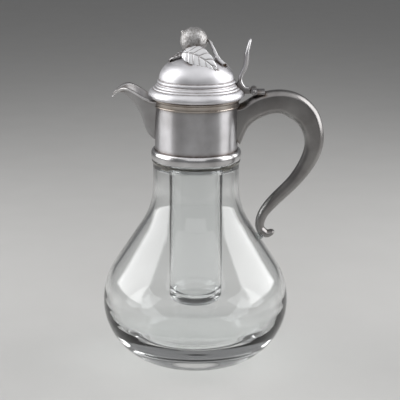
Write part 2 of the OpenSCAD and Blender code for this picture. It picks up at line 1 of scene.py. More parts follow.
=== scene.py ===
"""Looks of a glass carafe with silver-plated mounts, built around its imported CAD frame.

Every piece is in metres in the CAD frame: the origin is on the table under the body axis, +Z is up,
+X points toward the handle and -X toward the spout. Sizes in the classes are millimetres.
"""

import logging
from dataclasses import dataclass
from enum import Enum
from math import acos, asin, atan2, copysign, cos, degrees, exp, hypot, pi, radians, sin, sqrt, tan, tau
from typing import Callable, Sequence

import bmesh
import bpy
import numpy as np
from mathutils import Matrix, Vector, noise
from mathutils.bvhtree import BVHTree


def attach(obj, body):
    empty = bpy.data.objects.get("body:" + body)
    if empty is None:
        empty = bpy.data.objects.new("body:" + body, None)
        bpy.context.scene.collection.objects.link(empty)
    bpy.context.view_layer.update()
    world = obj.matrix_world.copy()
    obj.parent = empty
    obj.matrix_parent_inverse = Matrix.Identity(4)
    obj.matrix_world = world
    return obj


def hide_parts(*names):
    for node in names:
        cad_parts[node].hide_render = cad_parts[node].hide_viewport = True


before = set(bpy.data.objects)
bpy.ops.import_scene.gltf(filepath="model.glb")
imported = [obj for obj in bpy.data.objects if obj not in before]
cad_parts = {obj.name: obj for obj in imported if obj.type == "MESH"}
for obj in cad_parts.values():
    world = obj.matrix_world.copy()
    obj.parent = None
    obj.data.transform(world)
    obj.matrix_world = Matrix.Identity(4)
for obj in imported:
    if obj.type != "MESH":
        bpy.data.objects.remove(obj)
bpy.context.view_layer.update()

MM = 0.001

# Sizes that several sub-assemblies share, in millimetres. SINK is how far a root reaches into the collar.
NECK_R = 35.7
NECK_Z = 172.0
NECK_LIP = 1.0
COLLAR_R = 34.0
COLLAR_TOP = 223.3
SEAT_Z = 216.0
STUD_R = 1.5
SINK = 0.3

CREASE = "crease"
LOG = logging.getLogger("carafe")

Point = tuple[float, float]
Row = Sequence[float]
BMesh = bmesh.types.BMesh
Piece = bpy.types.Object
Socket = bpy.types.NodeSocket


def spaced(start: float, end: float, steps: int) -> list[float]:
    """Evenly spaced numbers from start to end."""
    return [start + (end - start) * i / steps for i in range(steps + 1)]


def arc(centre: Point, radius: float, start: float, end: float, steps: int) -> list[Point]:
    """Points along an arc round a centre, from one angle in degrees to another."""
    angles = [radians(turn) for turn in spaced(start, end, steps)]
    return [(centre[0] + radius * cos(a), centre[1] + radius * sin(a)) for a in angles]


def cubic(controls: Sequence[Point], steps: int) -> list[Point]:
    """Points along the cubic curve of four control points."""
    rows = [((1 - t) ** 3, 3 * (1 - t) ** 2 * t, 3 * (1 - t) * t * t, t**3) for t in spaced(0, 1, steps)]
    return [tuple(sum(w * c[k] for w, c in zip(row, controls)) for k in (0, 1)) for row in rows]


def bend(first: Vector, corner: Vector, last: Vector, shares: Sequence[float]) -> list[Point]:
    """Points at some shares along the curve that rounds a corner."""
    return [tuple(first * (1 - t) ** 2 + corner * 2 * t * (1 - t) + last * t * t) for t in shares]


def through(rows: Sequence[Row], at: float) -> list[float]:
    """One point of a smooth curve that passes through every row.

    Args:
        rows: Rows of numbers along the curve.
        at: Place on the curve, counted in rows.

    Returns:
        The numbers at that place.
    """
    i = max(0, min(int(at), len(rows) - 2))
    t = at - i
    b, c = rows[i], rows[i + 1]
    a = rows[i - 1] if i else [2 * p - q for p, q in zip(b, c)]
    d = rows[i + 2] if i + 2 < len(rows) else [2 * q - p for p, q in zip(b, c)]
    return [
        0.5 * (2 * q + (r - p) * t + (2 * p - 5 * q + 4 * r - s) * t * t + (3 * q - p - 3 * r + s) * t**3)
        for p, q, r, s in zip(a, b, c, d)
    ]


def heading(rows: Sequence[Row], at: float, step: float) -> list[float]:
    """Change of a smooth curve's numbers from one step before a place to one step after it."""
    ends = [through(rows, min(max(at + move, 0.0), len(rows) - 1.0)) for move in (-step, step)]
    return [after - before for before, after in zip(*ends)]


def closing(at: float, last: float, reach: float, least: float) -> float:
    """Share of a bar's section that is left where the bar rounds off toward its last row."""
    tip = max(0.0, (at - last) / reach + 1)
    return sqrt(max(1 - tip * tip, least))


def eased(profile: Sequence[Point], radius: float, closed: bool = True) -> list[Point]:
    """Rounds the sharp corners of a profile.

    Args:
        profile: Corner points.
        radius: How far the rounding reaches along each side.
        closed: True if the last point joins the first.

    Returns:
        The profile with each sharp corner drawn as a short curve.
    """
    made: list[Point] = []
    count = len(profile)
    for i, corner in enumerate(profile):
        if not closed and i in (0, count - 1):
            made.append(corner)
            continue
        here = Vector(corner)
        back, ahead = Vector(profile[i - 1]) - here, Vector(profile[(i + 1) % count]) - here
        if back.length < 1e-6 or ahead.length < 1e-6 or back.angle(ahead) > radians(155):
            made.append(corner)
            continue
        reach = min(radius, 0.45 * back.length, 0.45 * ahead.length)
        first, last = here + back.normalized() * reach, here + ahead.normalized() * reach
        made += bend(first, here, last, spaced(0, 1, 3))
    return made


def in_metres(x: float, y: float, z: float) -> Vector:
    """A point in metres from millimetres."""
    return Vector((x, y, z)) * MM


def crossing(inside: Callable[[float], bool], low: float, high: float) -> float:
    """The place where a condition stops holding.

    Args:
        inside: True at low and False at high.
        low: A place where it holds.
        high: A place where it doesn't.

    Returns:
        The place between them.
    """
    for _ in range(30):
        middle = (low + high) / 2
        low, high = (middle, high) if inside(middle) else (low, middle)
    return high


def to_object(bm: BMesh, name: str, sharp: float = 38.0) -> Piece:
    """Turns a bmesh into a smooth-shaded object at the origin.

    Args:
        bm: The finished bmesh, which is freed.
        name: Name of the piece.
        sharp: Edges that turn by more than this many degrees stay sharp.

    Returns:
        The new object.
    """
    mesh = bpy.data.meshes.new(name)
    bm.to_mesh(mesh)
    bm.free()
    mesh.shade_smooth()
    mesh.set_sharp_from_angle(angle=radians(sharp))
    piece = bpy.data.objects.new(name, mesh)
    bpy.context.scene.collection.objects.link(piece)
    return piece


def turned(profile: Sequence[Point], closed: bool = True, steps: int = 192) -> BMesh:
    """Spins a profile about the body axis.

    Args:
        profile: Points of radius and height in millimetres.
        closed: True if the last point joins the first, False for a line that ends on the axis.
        steps: Number of steps in the full turn.

    Returns:
        A closed bmesh with its faces outward.
    """
    bm = bmesh.new()
    verts = [bm.verts.new(in_metres(r, 0, z)) for r, z in profile]
    edges = [bm.edges.new(pair) for pair in zip(verts, verts[1:])]
    if closed:
        edges.append(bm.edges.new((verts[-1], verts[0])))
    bmesh.ops.spin(
        bm, geom=verts + edges, cent=(0, 0, 0), axis=(0, 0, 1), angle=tau, steps=steps, use_merge=True
    )
    bmesh.ops.remove_doubles(bm, verts=bm.verts, dist=1e-7)
    bmesh.ops.recalc_face_normals(bm, faces=bm.faces)
    return bm


def swept(rings: Sequence[Sequence[Vector]], closed: bool = True, capped: bool = True) -> BMesh:
    """Extrudes a line or ring of points from station to station.

    Args:
        rings: Points at each station, the same number at each.
        closed: True if each ring's last point joins its first.
        capped: True if the first and last rings are filled.

    Returns:
        A bmesh of the swept skin.
    """
    bm = bmesh.new()

    def joined(line: list[bmesh.types.BMVert]) -> list[tuple]:
        """Neighbouring pairs along the line."""
        return list(zip(line, line[1:] + line[:1] if closed else line[1:]))

    line = [bm.verts.new(p) for p in rings[0]]
    edges = [bm.edges.new(pair) for pair in joined(line)]
    first = list(edges)
    for ring in rings[1:]:
        made = bmesh.ops.extrude_edge_only(bm, edges=edges)["geom"]
        fresh = {g for g in made if isinstance(g, bmesh.types.BMVert)}
        line = [next(v for e in old.link_edges if (v := e.other_vert(old)) in fresh) for old in line]
        for vert, place in zip(line, ring):
            vert.co = place
        edges = [bm.edges.get(pair) for pair in joined(line)]
    if capped:
        bmesh.ops.contextual_create(bm, geom=first)
        bmesh.ops.contextual_create(bm, geom=edges)
        bmesh.ops.recalc_face_normals(bm, faces=bm.faces)
    return bm


def from_node(node: str, width: float) -> BMesh:
    """A copy of a CAD node with its sharp edges rounded.

    Args:
        node: Name of the CAD node.
        width: Width of the rounding in millimetres.

    Returns:
        The merged and rounded copy.
    """
    bm = bmesh.new()
    bm.from_mesh(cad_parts[node].data)
    bmesh.ops.remove_doubles(bm, verts=bm.verts, dist=2e-6)
    bmesh.ops.dissolve_limit(bm, angle_limit=radians(1.2), verts=bm.verts, edges=bm.edges)
    sharp = [e for e in bm.edges if e.is_manifold and e.calc_face_angle(0) > radians(35)]
    bmesh.ops.bevel(
        bm, geom=sharp, offset=width * MM, offset_type="OFFSET", affect="EDGES", segments=2, profile=0.5,
        clamp_overlap=True, material=-1,
    )
    return bm


def linear(code: str) -> tuple[float, float, float, float]:
    """An opaque linear colour from an sRGB hex code."""
    parts = [int(code[i : i + 2], 16) / 255 for i in (1, 3, 5)]
    return (*[p / 12.92 if p <= 0.04045 else ((p + 0.055) / 1.055) ** 2.4 for p in parts], 1.0)


class Brush(Enum):
    """Run of the fine polishing lines on a metal face, as the length of a line along X, Y and Z."""

    UPRIGHT = (1.0, 1.0, 24.0)
    ROUND = (30.0, 30.0, 1.0)
    EVEN = (1.0, 1.0, 1.0)


class Shading:
    """A material's nodes, with short ways to add those that the finishes use."""

    def __init__(self, tree: bpy.types.NodeTree) -> None:
        """Takes the tree's own shader and the object's coordinates."""
        self.tree, self.shader = tree, tree.nodes["Principled BSDF"]
        self.place = self.add("ShaderNodeTexCoord").outputs["Object"]

    def add(self, kind: str, inputs: dict | None = None, **settings: object) -> bpy.types.Node:
        """Adds a node with its settings and inputs.

        Args:
            kind: Blender's name for the node.
            inputs: Values or sockets by input name or number.
            **settings: Properties of the node.

        Returns:
            The new node.
        """
        node = self.tree.nodes.new(kind)
        for name, value in settings.items():
            setattr(node, name, value)
        self.feed(node, inputs or {})
        return node

    def feed(self, node: bpy.types.Node, inputs: dict) -> None:
        """Sets or links a node's inputs.

        Args:
            node: The node.
            inputs: Values or sockets by input name or number.
        """
        for key, value in inputs.items():
            if isinstance(value, Socket):
                self.tree.links.new(value, node.inputs[key])
            else:
                node.inputs[key].default_value = value

    def noise(self, size_mm: float, detail: float) -> Socket:
        """Cloudy noise with patches of a size."""
        inputs = {"Vector": self.place, "Scale": 1 / (size_mm * MM), "Detail": detail}
        return self.add("ShaderNodeTexNoise", inputs).outputs[0]

    def spread(self, value: Socket, span: Point, onto: Point = (0.0, 1.0)) -> Socket:
        """A value stretched from one span onto another."""
        return self.add("ShaderNodeMapRange", dict(enumerate((value, *span, *onto)))).outputs[0]

    def combine(self, operation: str, *terms: object) -> Socket:
        """Terms put together by one step of arithmetic, kept between 0 and 1."""
        inputs = dict(enumerate(terms))
        return self.add("ShaderNodeMath", inputs, operation=operation, use_clamp=True).outputs[0]

    def blend(self, share: Socket, first: object, second: object) -> Socket:
        """A colour between two others."""
        return self.add("ShaderNodeMix", {0: share, 6: first, 7: second}, data_type="RGBA").outputs[2]

    def bump(self, height: Socket, strength: float, depth_mm: float) -> Socket:
        """Fine relief from a height."""
        inputs = {"Height": height, "Strength": strength, "Distance": depth_mm * MM}
        return self.add("ShaderNodeBump", inputs).outputs[0]


class Finish:
    """A surface finish that makes its material once and shares it."""

    name: str

    def material(self) -> bpy.types.Material:
        """The finish's material, made at its first use.

        Returns:
            The shared material.
        """
        material = bpy.data.materials.get(self.name)
        if material is None:
            material = bpy.data.materials.new(self.name)
            material.use_nodes = True
            self.draw(Shading(material.node_tree))
        return material

    def draw(self, nodes: Shading) -> None:
        """Draws the finish into a material's nodes."""
        raise NotImplementedError


@dataclass(frozen=True)
class Silver(Finish):
    """Silver plate, polished by hand: a soft mirror, faint lines, a film, and a brown in creases that is
    partly tarnish and partly painted shade.
    """

    name: str
    smooth: float
    rough: float
    bright: str = "#D9D8D9"
    film: str = "#B2B0AF"
    tarnish_and_shade: str = "#553F2D"
    brush: Brush = Brush.EVEN
    line_mm: float = 1.3
    depth_mm: float = 0.003
    film_mm: float = 22.0
    speck_mm: float = 3.5
    crease_dulls: float = 0.25
    stretch: float = 0.0

    def draw(self, nodes: Shading) -> None:
        """Draws film, lines and the crease brown of tarnish and painted shade into one metal shader.

        Args:
            nodes: The material's nodes.
        """
        run = [1 / (self.line_mm * MM * part) for part in self.brush.value]
        along = nodes.add("ShaderNodeMapping", {"Vector": nodes.place, "Scale": run}).outputs[0]
        lines = nodes.add("ShaderNodeTexNoise", {"Vector": along, "Scale": 1.0, "Detail": 3.0}).outputs[0]
        veil = nodes.spread(nodes.noise(self.film_mm, 4.0), (0.35, 0.72))
        metal = nodes.blend(veil, linear(self.bright), linear(self.film))
        # Painted shade and tarnish: the crease mask blends in the brown colour, darkening creases and joints
        # where shade falls.
        near = nodes.add("ShaderNodeAttribute", attribute_name=CREASE).outputs["Fac"]
        patchy = nodes.spread(nodes.noise(self.speck_mm, 2.0), (0.25, 0.6), (0.55, 1.0))
        brown = nodes.combine("MULTIPLY", near, patchy)
        worn = nodes.spread(lines, (0.3, 0.7), (self.smooth, self.rough))
        nodes.feed(nodes.shader, {
            "Base Color": nodes.blend(brown, metal, linear(self.tarnish_and_shade)),
            "Roughness": nodes.combine("MULTIPLY_ADD", brown, self.crease_dulls, worn),
            "Normal": nodes.bump(lines, 0.35, self.depth_mm), "Metallic": 1.0,
        })
        if self.stretch:
            up = {0: (0, 0, 1), 1: nodes.place}
            around = nodes.add("ShaderNodeVectorMath", up, operation="CROSS_PRODUCT").outputs[0]
            nodes.feed(nodes.shader, {
                "Tangent": around, "Anisotropic": self.stretch, "Anisotropic Rotation": 0.25,
            })


@dataclass(frozen=True)
class Glass(Finish):
    """Clear soda glass, blown and fire-polished: slow waves in the wall and faint wiped marks."""

    name: str
    tint: str = "#FCFDFD"
    shadow: str = "#F2F3F3"
    wave_mm: float = 26.0
    wave_depth_mm: float = 0.05
    wipe_mm: float = 9.0
    haze: float = 0.035
    ior: float = 1.52

    def draw(self, nodes: Shading) -> None:
        """Draws a clear shader that lets lamps through.

        Args:
            nodes: The material's nodes.
        """
        nodes.feed(nodes.shader, {
            "Base Color": linear(self.tint), "Transmission Weight": 1.0, "IOR": self.ior,
            "Roughness": nodes.spread(nodes.noise(self.wipe_mm, 4.0), (0.55, 0.8), (0.0, self.haze)),
            "Normal": nodes.bump(nodes.noise(self.wave_mm, 1.0), 0.5, self.wave_depth_mm),
        })
        lamp = nodes.add("ShaderNodeLightPath").outputs["Is Shadow Ray"]
        clear = nodes.add("ShaderNodeBsdfTransparent", {"Color": linear(self.shadow)}).outputs[0]
        both = nodes.add("ShaderNodeMixShader", {0: lamp, 1: nodes.shader.outputs[0], 2: clear})
        nodes.feed(nodes.tree.nodes["Material Output"], {"Surface": both.outputs[0]})


@dataclass(frozen=True)
class Dull(Finish):
    """A plain cast or moulded solid, such as cement or soft plastic, with a fine grain."""

    name: str
    pale: str
    deep: str
    roughness: float
    grain_mm: float
    depth_mm: float
    clear: float = 0.0
    metal: float = 0.0

    def draw(self, nodes: Shading) -> None:
        """Draws two tones and a grain into one shader.

        Args:
            nodes: The material's nodes.
        """
        grain = nodes.noise(self.grain_mm, 4.0)
        nodes.feed(nodes.shader, {
            "Base Color": nodes.blend(grain, linear(self.pale), linear(self.deep)),
            "Normal": nodes.bump(grain, 0.5, self.depth_mm), "Roughness": self.roughness,
            "Metallic": self.metal, "Transmission Weight": self.clear,
        })


# The silver plate is one metal, and some finishes below are lit and shaded copies of it. The collar, the cast
# pieces and the handle are painted darker as painted shade. The lid and the leaves are painted lighter as
# painted light.
COLLAR_SILVER = Silver(
    "silver_plate_upright_polish", 0.34, 0.42, "#C6C5C7", "#AAA8A9", brush=Brush.UPRIGHT, depth_mm=0.006,
    stretch=0.85,
)
LID_SILVER = Silver("silver_plate_spun", 0.42, 0.54, "#E3E2E5", "#C9C8CB", brush=Brush.ROUND)
TURNED_SILVER = Silver("silver_plate_turned", 0.32, 0.44, brush=Brush.ROUND)
MOULD_SILVER = Silver(
    "silver_plate_moulding", 0.24, 0.36, "#CDC7C1", "#9F948A", "#4C3A2B", brush=Brush.ROUND
)
SMOOTH_SILVER = Silver(
    "silver_plate_smooth", 0.30, 0.38, "#D4D3D5", "#BBB9BA", line_mm=6.0, depth_mm=0.002
)
BAND_SILVER = Silver("silver_plate_bright_band", 0.18, 0.28, film="#A8A6A6", brush=Brush.ROUND)
CAST_SILVER = Silver("silver_plate_cast", 0.32, 0.38, "#A7A6A7", "#8C8A8A", line_mm=6.0, depth_mm=0.001)
# Painted shade: the handle's plate is painted much darker than the plain plate, so its flanks look dark.
HANDLE_SILVER = Silver(
    "silver_plate_handle_painted_shade", 0.29, 0.33, "#9E9C9B", "#807D7C", line_mm=6.0, depth_mm=0.001
)
STIPPLED_SILVER = Silver(
    "silver_plate_stippled", 0.44, 0.60, "#C4C3C3", "#94918F", line_mm=0.9, depth_mm=0.10, film_mm=2.4
)
LEAF_SILVER = Silver("silver_plate_chased", 0.30, 0.44, "#E8E8EA", "#D4D3D5", depth_mm=0.002)
BULB_GLASS = Glass("soda_glass_blown")
TUBE_GLASS = Glass("soda_glass_drawn", wave_mm=34.0, wave_depth_mm=0.03)
CEMENT = Dull("plaster_cement", "#DAD5C8", "#B9B2A2", 0.9, 1.6, 0.08)
PAD = Dull("clear_soft_bumper", "#E3E6E5", "#CFD4D3", 0.35, 2.5, 0.02, clear=0.6)
SEAL = Dull("soft_seal", "#E4E3DE", "#CBC9C2", 0.55, 1.8, 0.03, clear=0.25)
BRASS = Dull("plated_brass_turned", "#CBC3B0", "#A69C86", 0.32, 1.2, 0.01, metal=1.0)


class Assembly:
    """A sub-assembly whose pieces ride on one body of the frame."""

    body: str = "jug"
    metal: list[Piece] = []

    def fit(
        self, bm: BMesh, name: str, finish: Finish, node: str, slot: str = "silver",
        sharp: float = 38.0,
    ) -> Piece:
        """Makes a piece, dresses it and sets it in the place of a CAD node.

        Args:
            bm: The finished bmesh.
            name: Name of the piece.
            finish: Its finish.
            node: The CAD node that it stands for.
            slot: The record's material slot, which is not used.
            sharp: Edges that turn by more than this many degrees stay sharp.

        Returns:
            The new piece.
        """
        piece = to_object(bm, name, sharp)
        piece.data.materials.append(finish.material())
        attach(piece, self.body)
        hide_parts(node)
        if isinstance(finish, Silver):
            Assembly.metal.append(piece)
        LOG.info("%s stands for %s on %s, %d faces", name, node, self.body, len(piece.data.polygons))
        return piece

    def keep(self, node: str, finish: Finish) -> None:
        """Dresses a CAD node whose shape is already right.

        Args:
            node: Name of the node.
            finish: Its finish.
        """
        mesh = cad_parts[node].data
        mesh.materials.clear()
        mesh.materials.append(finish.material())
        LOG.info("%s kept on %s", node, self.body)


@dataclass
class Bulb(Assembly):
    """Blown glass body: heavy floor, round bulge, straight cone and a neck with a reduced spigot."""

    bulge_r: float = 77.7
    bulge_z: float = 49.8
    foot_r: float = 41.0
    shoulder_arc: float = 58.0
    cone_angle: float = 33.2
    neck_r: float = NECK_R
    neck_fillet: float = 57.0
    neck_z: float = NECK_Z
    lip: float = NECK_LIP
    lip_h: float = 3.8
    wall: float = 3.6
    floor: float = 18.0
    floor_flat: float = 3.0
    floor_swell: float = 0.9
    inner_turn: float = 12.0
    inner_lead: float = 16.0
    step_z: Point = (1.0, 7.0)
    ease: float = 1.2
    ripple: float = 0.12
    ripple_pitch: float = 4.5
    ripple_drift: float = 1.6
    ripple_z: Point = (1.0, 22.0)
    ripple_fade: Point = (6.0, 20.0)
    spigot_r: float = 31.4
    spigot_h: float = 23.0
    spigot_wall: float = 3.0

    def outer(self) -> list[Point]:
        """Outer profile from the standing face to the neck.

        Returns:
            Points of radius and height in millimetres.
        """
        inset = self.bulge_r - self.foot_r
        low = (inset**2 + self.bulge_z**2) / (2 * inset)
        start = -degrees(asin(self.bulge_z / low))
        return [
            *arc((self.bulge_r - low, self.bulge_z), low, start, 0, 40),
            *arc(self.shoulder(), self.shoulder_arc, 1.5, self.cone_angle, 20),
            *arc(self.hollow(), self.neck_fillet, 180 + self.cone_angle, 180, 20),
            *cubic(self.lip_curve(), 12),
        ]

    def lip_curve(self) -> list[Point]:
        """Controls of the round lip under the collar's foot band."""
        r, out, z, h = self.neck_r, self.neck_r + self.lip, self.neck_z, self.lip_h
        return [(r, z - h), (r, z - 0.6 * h), (out, z - 0.7 * h), (out, z - 0.2 * h)]

    def shoulder(self) -> Point:
        """Centre of the round shoulder."""
        return (self.bulge_r - self.shoulder_arc, self.bulge_z)

    def hollow(self) -> Point:
        """Centre of the hollow between cone and neck.

        Returns:
            Its radius and height in millimetres.
        """
        turn = radians(self.cone_angle)
        centre = self.shoulder()
        top = (centre[0] + self.shoulder_arc * cos(turn), centre[1] + self.shoulder_arc * sin(turn))
        corner = top[1] + (top[0] - self.neck_r) / tan(turn)
        return (self.neck_r + self.neck_fillet, corner + self.neck_fillet * tan(turn / 2))

    def inner(self) -> list[Point]:
        """Inner profile from the neck down to the floor.

        Returns:
            Points of radius and height in millimetres.
        """
        turn, reach = radians(self.inner_turn), self.inner_lead
        shoulder = arc(self.shoulder(), self.shoulder_arc - self.wall, self.cone_angle, self.inner_turn, 20)
        start = shoulder[-1]
        lead = (start[0] + reach * sin(turn), start[1] - reach * cos(turn))
        swell, flat = self.floor_swell * self.bulge_r, self.foot_r + self.floor_flat
        floor_curve = [start, lead, (swell, self.floor), (flat, self.floor)]
        hollow = arc(self.hollow(), self.neck_fillet + self.wall, 180, 180 + self.cone_angle, 20)
        return [*hollow, *shoulder, *cubic(floor_curve, 64)[1:]]

    def build(self) -> None:
        """Spins the body from one line that starts and ends on the axis."""
        bore = self.spigot_r - self.spigot_wall
        top = self.neck_z + self.spigot_h
        lip = (self.neck_r + 0.85 * self.lip, self.neck_z)
        neck = [lip, (self.spigot_r, self.neck_z), (self.spigot_r, top), (bore, top)]
        high, low = (self.neck_z - z for z in self.step_z)
        step = [(bore, high), (self.neck_r - self.wall, low)]
        line = [(0, 0), *self.outer(), *neck, *step, *self.inner(), (0, self.floor)]
        bm = turned(eased(line, self.ease, closed=False), closed=False, steps=256)
        self.ripples(bm)
        self.fit(bm, "bulb_glass", BULB_GLASS, "glass_body", "glass", 50.0)

    def ripples(self, bm: BMesh) -> None:
        """Raises the low rings that blowing leaves on the inner face above the floor.

        Args:
            bm: The spun body, with its faces outward.
        """
        bm.normal_update()
        low, top = (self.floor + self.ripple_z[0]) * MM, (self.bulge_z + self.ripple_z[1]) * MM
        rise, fall = (d * MM for d in self.ripple_fade)
        drift, pitch = self.ripple_drift, self.ripple_pitch * MM
        for v in bm.verts:
            inward = -v.normal.dot(Vector((v.co.x, v.co.y, v.co.z - top)).normalized())
            if low < v.co.z < top and inward > 0.2:
                fade = min((v.co.z - low) / rise, (top - v.co.z) / fall, 1.0)
                angle = atan2(v.co.y, v.co.x)
                ring = Vector((drift * cos(angle), drift * sin(angle), v.co.z / pitch))
                v.co += v.normal * self.ripple * fade * noise.noise(ring) * MM


@dataclass
class Collar(Assembly):
    """Sheet sleeve on the glass neck with its foot band, top moulding, tube gallery and cement."""

    radius: float = COLLAR_R
    sheet: float = 1.2
    foot_z: float = NECK_Z
    top_z: float = COLLAR_TOP
    neck_r: float = NECK_R
    neck_lip: float = NECK_LIP
    band_lip: float = 1.5
    band_h: float = 8.0
    band_turn: float = 75.0
    mould_h: float = 7.5
    bead: float = 2.5
    gallery_z: float = SEAT_Z
    gallery_t: float = 1.6
    gallery_r: float = 24.7
    window: tuple[float, float, float, float] = (197.0, 212.9, 2.92, 8.1)

    def build(self) -> None:
        """Builds the rings round the neck."""
        self.sleeve()
        self.band()
        self.moulding()
        self.gallery()
        self.keep("neck_cement", CEMENT)

    def sleeve(self) -> None:
        """Spins the sleeve and cuts the pouring window behind the spout."""
        inner = self.radius - self.sheet
        heights = spaced(self.foot_z, self.top_z, 40)
        bm = turned([*((self.radius, z) for z in heights), *((inner, z) for z in reversed(heights))])
        low, high, narrow, wide = self.window
        lean = atan2(wide - narrow, high - low)
        side = Vector((0, cos(lean), -sin(lean)))
        cuts = [
            (in_metres(0, 0, low), Vector((0, 0, 1))), (in_metres(0, 0, high), Vector((0, 0, -1))),
            (in_metres(0, narrow, low), -side), (in_metres(0, -narrow, low), Vector((0, side.y, -side.z))),
        ]

        def front() -> list[bmesh.types.BMFace]:
            """Faces on the spout's side."""
            return [f for f in bm.faces if f.calc_center_median().x < -0.8 * inner * MM]

        def through_window(face: bmesh.types.BMFace) -> bool:
            """True if the face lies inside all the cuts."""
            centre = face.calc_center_median()
            return all((centre - spot).dot(facing) > 0 for spot, facing in cuts)

        for spot, facing in cuts:
            faces = front()
            geom = [*faces, *(e for f in faces for e in f.edges), *(v for f in faces for v in f.verts)]
            geom = list(dict.fromkeys(geom))
            bmesh.ops.bisect_plane(bm, geom=geom, dist=1e-8, plane_co=spot, plane_no=facing)
        bmesh.ops.delete(bm, geom=[f for f in front() if through_window(f)], context="FACES")
        bmesh.ops.bridge_loops(bm, edges=[e for e in bm.edges if e.is_boundary])
        bmesh.ops.recalc_face_normals(bm, faces=bm.faces)
        self.fit(bm, "collar_sleeve", COLLAR_SILVER, "collar")

    def band(self) -> None:
        """Spins the half-round band over the joint of collar and glass."""
        foot, middle = self.foot_z, self.foot_z + self.band_h / 2
        out = self.neck_r + self.band_lip
        curve, limit = [], radians(self.band_turn)
        for turn in spaced(-limit, limit, 30):
            base = self.neck_r + 0.5 * self.neck_lip if turn < 0 else self.radius + 0.55 * self.band_lip
            rise = self.band_h / 2 * sin(turn) / sin(limit)
            curve.append((base + (out - base) * cos(turn), middle + rise))
        profile = [(self.radius, foot), *curve, (self.radius, foot + self.band_h)]
        self.fit(turned(eased(profile, 0.35)), "foot_band", BAND_SILVER, "collar_band")

    def moulding(self) -> None:
        """Spins the bead, hollow and lower bead round the collar top."""
        r, h, b, top = self.radius, self.mould_h, self.bead, self.top_z
        low = top - h
        hollow = [
            (r + 0.24 * b, low + 0.28 * h), (r + 0.24 * b, low + 0.53 * h), (r + 0.36 * b, top - 0.29 * h),
            (r + 0.64 * b, top - 0.29 * h),
        ]
        profile = [
            (r, low), *arc((r + 0.16 * b, low + 0.135 * h), 0.36 * b, -80, 80, 14), *cubic(hollow, 12),
            *arc((r + 0.6 * b, top - 0.4 * b), 0.4 * b, -75, 80, 14), (r + 0.52 * b, top), (r, top),
        ]
        self.fit(turned(profile), "top_moulding", MOULD_SILVER, "collar_moulding")

    def gallery(self) -> None:
        """Spins the ledge inside the collar that carries the tube."""
        r0, r1, z = self.gallery_r, self.radius - self.sheet, self.gallery_z
        profile = [(r0, z - self.gallery_t), (r1, z - self.gallery_t), (r1, z), (r0, z)]
        self.fit(turned(eased(profile, 0.35)), "gallery_ring", TURNED_SILVER, "tube_gallery")


@dataclass
class Tube(Assembly):
    """Glass ice tube that hangs in the collar by a flanged ring and a soft seal."""

    body = "tube"
    radius: float = 22.0
    wall: float = 2.2
    bottom_z: float = 48.0
    floor: float = 6.0
    top_z: float = 219.2
    flange_z: float = SEAT_Z
    flange_t: float = 2.0
    flange_r: float = 28.4
    sleeve_r: float = 24.2
    sleeve_h: float = 12.0
    seal: float = 1.0
    outer_round: float = 7.0
    inner_round: float = 9.0

    def build(self) -> None:
        """Builds the glass and its ring."""
        r, b, z = self.radius, self.radius - self.wall, self.bottom_z
        out, inner = self.outer_round, self.inner_round
        line = [
            (0, z), *arc((r - out, z + out), out, -90, 0, 16), (r, self.top_z), (b, self.top_z),
            *arc((b - inner, z + self.floor + inner), inner, 0, -90, 16), (0, z + self.floor),
        ]
        glass = turned(eased(line, 0.8, closed=False), closed=False)
        self.fit(glass, "ice_tube_glass", TUBE_GLASS, "ice_tube", "glass", 50.0)
        seat, high, bore = self.flange_z, self.flange_z + self.flange_t, r + self.seal
        low = high - self.sleeve_h
        ring = [
            (bore, low), (self.sleeve_r, low), (self.sleeve_r, seat), (self.flange_r, seat),
            (self.flange_r, high), (bore, high),
        ]
        self.fit(turned(eased(ring, 0.4)), "tube_hanging_ring", TURNED_SILVER, "tube_flange")
        self.keep("tube_seal", SEAL)


